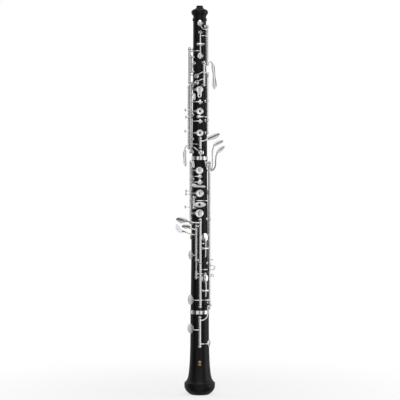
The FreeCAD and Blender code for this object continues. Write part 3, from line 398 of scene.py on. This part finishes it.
def crease(seed):
    def wobble(angle, radius):
        return CREASE_DEPTH * math.sin(CREASES * angle + seed) * math.sin(3 * angle + 2 * seed)
    return wobble


def pads():
    for node in [name for name in frame["nodes"] if name.endswith("_pads")]:
        discs = [Disc(points) for points in loose_parts(node)]

        def build(mesh):
            for number, disc in enumerate(discs):
                folds = crease(number + len(node))
                lathe(mesh, pad_profile(disc), disc.centre, disc.turn(), PAD_SEGMENTS, folds)
        skin = piece(node.removesuffix("_pads") + "_pad_skins", build, MATERIALS["pad_skin"])
        install(skin, BODY_OF[node], node)


MOST_DIVISIONS = 6
COARSE_GRAIN = 0.7 * MM
FINE_GRAIN = 0.25 * MM
PITTED = 0.35           # the larger, the more of a cork's surface is pitted


def crumbled(node, name, longest, depth):
    """A cork with the outline of its CAD node, finely divided and pitted inwards."""
    def build(mesh):
        mesh.from_mesh(frame["nodes"][node].data)
        bmesh.ops.remove_doubles(mesh, verts=mesh.verts, dist=WELD)
        bmesh.ops.triangulate(mesh, faces=mesh.faces)
        for _ in range(MOST_DIVISIONS):
            edges = [edge for edge in mesh.edges if edge.calc_length() > longest]
            if not edges:
                break
            bmesh.ops.subdivide_edges(mesh, edges=edges, cuts=1)
            bmesh.ops.triangulate(mesh, faces=mesh.faces)
        bmesh.ops.recalc_face_normals(mesh, faces=mesh.faces)
        mesh.normal_update()
        for vert in mesh.verts:
            grain = noise.noise(vert.co / COARSE_GRAIN) + 0.5 * noise.noise(vert.co / FINE_GRAIN)
            vert.co -= vert.normal * depth * max(0.0, PITTED + grain)
    install(piece(name, build, MATERIALS["cork"]), BODY_OF[node], node)


pads()
crumbled("octave_vent_cork", "octave_vent_bumper", 0.35 * MM, 0.08 * MM)
crumbled("upper_tenon_cork", "upper_tenon_wrap", 1.0 * MM, 0.10 * MM)
crumbled("lower_tenon_cork", "lower_tenon_wrap", 1.0 * MM, 0.10 * MM)


BUMPER_ROWS = 14
BUMPER_COLUMNS = 12
BUMPER_SHOULDER = 0.35  # share of the block's height left at its worn edges
BUMPER_ROOT = 0.4       # mm of cork sunk below the wood's surface
BUMPER_GRAIN = 0.10     # mm


def bumper(name, azimuth, low, high, radius, reach, half_angle):
    """A block of cork glued to the side of the tube as a lever's stop, worn round at its corners.
    Lengths are in mm and angles in degrees."""
    def build(mesh):
        layers = ([], [])
        for i in range(BUMPER_ROWS + 1):
            t = 2 * i / BUMPER_ROWS - 1
            z = (low + high) / 2 + t * (high - low) / 2
            for j in range(BUMPER_COLUMNS + 1):
                s = 2 * j / BUMPER_COLUMNS - 1
                worn = (1 - abs(t) ** 6) * (1 - abs(s) ** 6)
                angle = math.radians(azimuth + s * half_angle)
                grain = BUMPER_GRAIN * noise.noise(Vector((s * 9, t * 13, azimuth)))
                rise = (reach - radius) * (BUMPER_SHOULDER + (1 - BUMPER_SHOULDER) * worn)
                for layer, distance in zip(layers, (radius + rise + grain, radius - BUMPER_ROOT)):
                    spot = Vector((distance * math.sin(angle), -distance * math.cos(angle), z)) * MM
                    layer.append(mesh.verts.new(spot))
        close_layers(mesh, layers, BUMPER_ROWS, BUMPER_COLUMNS)
    install(piece(name, build, MATERIALS["cork"]), ROOT)


bumper("c_lever_bumper", -84, 237.2, 243.4, 12.8, 14.6, 9)
bumper("left_b_bumper", 74, 305.6, 312.6, 12.2, 14.2, 7)


# ---- Screws --------------------------------------------------------------------------------
JOINT_OF = {joint["child"]: joint for joint in BEHAVIOUR["joints"]}
# Adjusting screws of the keys that stand open: (height, reach to the left of the hinge) in mm.
ADJUSTERS = {
    "left_second_key": [(441.0, 3.6), (435.0, 8.2)],
    "left_third_key": [(424.2, 7.2), (410.6, 3.4), (402.8, 8.4)],
    "right_second_key": [(311.4, 7.0), (306.6, 7.2)],
    "right_third_key": [(287.0, 8.2)],
}
ADJUSTER_DROP = 1.2 * MM
BOSS_HALF = 1.5 * MM
SCREW_RADIUS = 0.85 * MM
SCREW_RISE = 0.55 * MM  # head above its boss
SCREW_TAIL = 1.0 * MM   # foot below its boss
SCREW_SEGMENTS = 24
HEAD_DEPTH = 0.5 * MM
SLOT_DEPTH = 0.3 * MM
SLOT_WIDTH = 0.28 * MM
EASED_EDGE = 0.08 * MM
THREAD_PITCH = 0.32 * MM


def half_moon(mesh, centre, turn, low, high, side):
    """One side of a slotted screw head, its top edge eased."""
    start = math.asin(SLOT_WIDTH / 2 / SCREW_RADIUS)
    steps = SCREW_SEGMENTS // 2
    angles = [start + (math.pi - 2 * start) * i / steps for i in range(steps + 1)]
    loops = []
    for height, scale in ((low, 1.0), (high - EASED_EDGE, 1.0), (high, 0.9)):
        radius = SCREW_RADIUS * scale
        loop = []
        for angle in angles:
            depth = max(radius * math.sin(angle), SLOT_WIDTH / 2)
            spot = Vector((side * radius * math.cos(angle), side * depth, height))
            loop.append(mesh.verts.new(centre + turn @ spot))
        loops.append(loop)
    for a, b in zip(loops, loops[1:]):
        for i in range(len(a)):
            j = (i + 1) % len(a)
            mesh.faces.new((a[i], a[j], b[j], b[i]))
    mesh.faces.new(loops[-1])
    mesh.faces.new(loops[0][::-1])


def slotted_screw(mesh, centre, turn, top, foot):
    """A screw on local Z: threaded shank down to a rounded foot, and a slotted head."""
    shank, crest = SCREW_RADIUS * 0.62, SCREW_RADIUS * 0.74
    level = foot + 0.4 * MM
    profile = [(0, foot), (shank * 0.6, foot + 0.1 * MM), (shank, level)]
    while level + THREAD_PITCH < top - HEAD_DEPTH - 0.1 * MM:
        profile += [(crest, level + THREAD_PITCH * 0.4), (shank, level + THREAD_PITCH)]
        level += THREAD_PITCH
    profile += [(SCREW_RADIUS, top - HEAD_DEPTH), (SCREW_RADIUS, top - SLOT_DEPTH), (0, top - SLOT_DEPTH)]
    lathe(mesh, profile, centre, turn, SCREW_SEGMENTS)
    for side in (1, -1):
        half_moon(mesh, centre, turn, top - SLOT_DEPTH, top, side)


def at_rest(key, spot):
    """Where a point of a key drawn closed lies once the key stands open."""
    joint = JOINT_OF[key]
    hinge = Vector(joint["pos_m"])
    turn = Matrix.Rotation(-math.radians(joint["range_deg"][1]), 3, Vector(joint["axis"]))
    return hinge + turn @ (spot - hinge)


def adjusting_screws():
    for key, sites in ADJUSTERS.items():
        x, y, _ = JOINT_OF[key]["pos_m"]

        def build(mesh):
            for height, reach in sites:
                spot = at_rest(key, Vector((x - reach * MM, y - ADJUSTER_DROP, height * MM)))
                spin = Matrix.Rotation(random.uniform(0, math.pi), 3, "Z")
                slotted_screw(mesh, spot, spin, BOSS_HALF + SCREW_RISE, -BOSS_HALF - SCREW_TAIL)
        screws = piece(key.removesuffix("_key") + "_adjusters", build, MATERIALS["steel"], smooth=False)
        install(screws, key)


adjusting_screws()


# ---- Inlay on the bell ---------------------------------------------------------------------
ORNAMENT_HEIGHT = 50.6 * MM
PETALS = 8
PETAL_REACH = 1.45 * MM
BAR_DROP = 4.1 * MM
INLAY_PROUD = 0.04 * MM
INLAY_DEPTH = 0.06 * MM
LEAF_ALONG = 14
LEAF_ACROSS = 4


def surface_tree(node):
    mesh = bmesh.new()
    mesh.from_mesh(frame["nodes"][node].data)
    tree = BVHTree.FromBMesh(mesh)
    mesh.free()
    return tree


def inlay_leaf(mesh, tree, x, z, angle, length, half_width, fullness=1.0):
    """A thin leaf of metal laid on the front of the wood, pointed at fullness 1, square near 0."""
    facing = Vector((0, 1, 0))
    layers = ([], [])
    for i in range(LEAF_ALONG + 1):
        t = i / LEAF_ALONG
        spread = half_width * max(0.04, math.sin(math.pi * t)) ** fullness
        for j in range(LEAF_ACROSS + 1):
            u, v = (t - 0.5) * length, (2 * j / LEAF_ACROSS - 1) * spread
            spot = Vector((x + u * math.cos(angle) - v * math.sin(angle), -1.0,
                           z + u * math.sin(angle) + v * math.cos(angle)))
            hit = tree.ray_cast(spot, facing)[0]
            layers[0].append(mesh.verts.new(hit - facing * INLAY_PROUD))
            layers[1].append(mesh.verts.new(hit + facing * INLAY_DEPTH))
    close_layers(mesh, layers, LEAF_ALONG, LEAF_ACROSS)


def bell_ornament():
    """A plain gilt rosette of leaves over a short bar."""
    tree = surface_tree("bell")

    def build(mesh):
        for i in range(PETALS):
            angle = 2 * math.pi * (i + 0.5) / PETALS
            x, rise = PETAL_REACH * math.cos(angle), PETAL_REACH * math.sin(angle)
            inlay_leaf(mesh, tree, x, ORNAMENT_HEIGHT + rise, angle, 2.0 * MM, 0.42 * MM)
        inlay_leaf(mesh, tree, 0.0, ORNAMENT_HEIGHT, 0.0, 1.0 * MM, 0.5 * MM, 0.5)
        inlay_leaf(mesh, tree, 0.0, ORNAMENT_HEIGHT - BAR_DROP, 0.0, 5.0 * MM, 0.55 * MM, 0.15)
    install(piece("bell_ornament", build, MATERIALS["gilt"]), ROOT)


bell_ornament()


# ---- Stage: floor, light and camera --------------------------------------------------------
CAMERA_DISTANCE = 2.0
CAMERA_ASIDE = 0.5 * MM
FRAME_HEIGHT = HEIGHT / 0.97
SENSOR = 36.0
FLOOR_RADIUS = 9.0


def floor():
    """A pale matte floor that fades into the white background and is clear to mirror reflections."""
    s = Shader("pale_floor")
    place = s.add("ShaderNodeTexCoord").outputs["Object"]
    away = s.add("ShaderNodeVectorMath", {0: place}, operation="LENGTH").outputs["Value"]
    fade = s.span(away, 0.72, 1.0, 0.05, 0.5, "SMOOTHSTEP")
    speckle = s.noise(60, detail=6.0)
    s.set(Base_Color=s.ramp(speckle, [(0.3, grey(0.90)), (0.7, grey(0.96))]), Roughness=0.75)
    s.bump((speckle, 0.03, 0.3))
    glow = s.add("ShaderNodeEmission", {"Color": (1, 1, 1, 1), "Strength": 1.0})
    mix = s.add("ShaderNodeMixShader", {0: fade, 1: s.surface.outputs[0], 2: glow.outputs[0]})
    mirrored = s.add("ShaderNodeLightPath").outputs["Is Glossy Ray"]
    clear = s.add("ShaderNodeBsdfTransparent")
    shown = s.add("ShaderNodeMixShader", {0: mirrored, 1: mix.outputs[0], 2: clear.outputs[0]})
    s.put(s.tree.nodes["Material Output"].inputs["Surface"], shown.outputs[0])
    bpy.ops.mesh.primitive_circle_add(vertices=96, radius=FLOOR_RADIUS, fill_type="NGON")
    disc = bpy.context.object
    disc.name = "floor"
    disc.data.materials.append(s.material)


# Brightness of the studio tent by bearing: 0 and 1 are behind the instrument, 0.25 its left,
# 0.5 the camera's side and 0.75 its right.
TENT = [(0.0, 0.38), (0.083, 0.46), (0.13, 0.70), (0.18, 0.88), (0.222, 0.52), (0.292, 0.12),
        (0.361, 0.06), (0.402, 0.20), (0.430, 0.78), (0.495, 0.84), (0.505, 1.08), (0.572, 1.08),
        (0.596, 0.34), (0.639, 0.06), (0.708, 0.12), (0.778, 0.58), (0.82, 0.90), (0.87, 0.68),
        (0.917, 0.46), (1.0, 0.38)]


def sky():
    """White to the camera. What reflects it sees a tent of bright cloths and dark gaps, with a slit
    in front for the camera."""
    world = bpy.data.worlds.new("studio")
    bpy.context.scene.world = world
    world.use_nodes = True
    s = Nodes(world.node_tree)
    s.tree.nodes.clear()
    split = s.add("ShaderNodeSeparateXYZ", {0: s.add("ShaderNodeTexCoord").outputs["Generated"]}).outputs
    bearing = s.maths("ARCTAN2", split["X"], s.maths("MULTIPLY", split["Y"], -1.0))
    turn = s.span(bearing, 0.0, 1.0, -math.pi, math.pi)
    tent = s.ramp(turn, [(at, grey(value)) for at, value in TENT])
    height = s.span(split["Z"], 0.62, 1.12, -0.5, 0.7)
    aside = s.maths("ABSOLUTE", s.maths("SUBTRACT", turn, 0.5))
    beside = s.span(aside, 0.06, 1.0, 0.008, 0.020)
    above = s.span(s.maths("ABSOLUTE", split["Z"]), 0.0, 1.0, 0.12, 0.32)
    strength = s.maths("MULTIPLY", height, s.maths("MAXIMUM", beside, above))
    lit = s.add("ShaderNodeBackground", {"Color": tent, "Strength": strength})
    seen = s.add("ShaderNodeBackground", {"Color": (1, 1, 1, 1), "Strength": 1.0})
    to_camera = s.add("ShaderNodeLightPath").outputs["Is Camera Ray"]
    mix = s.add("ShaderNodeMixShader", {0: to_camera, 1: lit.outputs[0], 2: seen.outputs[0]})
    s.add("ShaderNodeOutputWorld", {"Surface": mix.outputs[0]})


def softbox(name, azimuth, distance, height, width, tall, radiance):
    """An area light that faces the middle of the instrument."""
    data = bpy.data.lights.new(name, "AREA")
    data.shape = "RECTANGLE"
    data.size, data.size_y = width, tall
    data.energy = radiance * math.pi * width * tall
    light = bpy.data.objects.new(name, data)
    angle = math.radians(azimuth)
    light.location = (distance * math.sin(angle), -distance * math.cos(angle), height)
    aim = Vector((0, 0, HEIGHT / 2)) - light.location
    light.rotation_mode = "QUATERNION"
    light.rotation_quaternion = aim.to_track_quat("-Z", "Y")
    bpy.context.collection.objects.link(light)


def camera():
    data = bpy.data.cameras.new("camera")
    data.sensor_width = SENSOR
    data.lens = SENSOR * CAMERA_DISTANCE / FRAME_HEIGHT
    data.clip_start, data.clip_end = 0.1, 50
    eye = bpy.data.objects.new("camera", data)
    eye.location = (CAMERA_ASIDE, -CAMERA_DISTANCE, cad_low.z + HEIGHT / 2)
    eye.rotation_euler = (math.radians(90), 0, 0)
    bpy.context.collection.objects.link(eye)
    bpy.context.scene.camera = eye


floor()
sky()
softbox("key_right", 78, 1.0, 0.34, 0.70, 1.1, 1.5)
softbox("key_left", -34, 1.1, 0.42, 0.10, 1.1, 1.8)
softbox("top", 10, 0.25, 1.7, 0.9, 0.9, 1.6)
camera()
bpy.context.scene.view_settings.view_transform = "Standard"
bpy.context.scene.view_settings.look = "None"
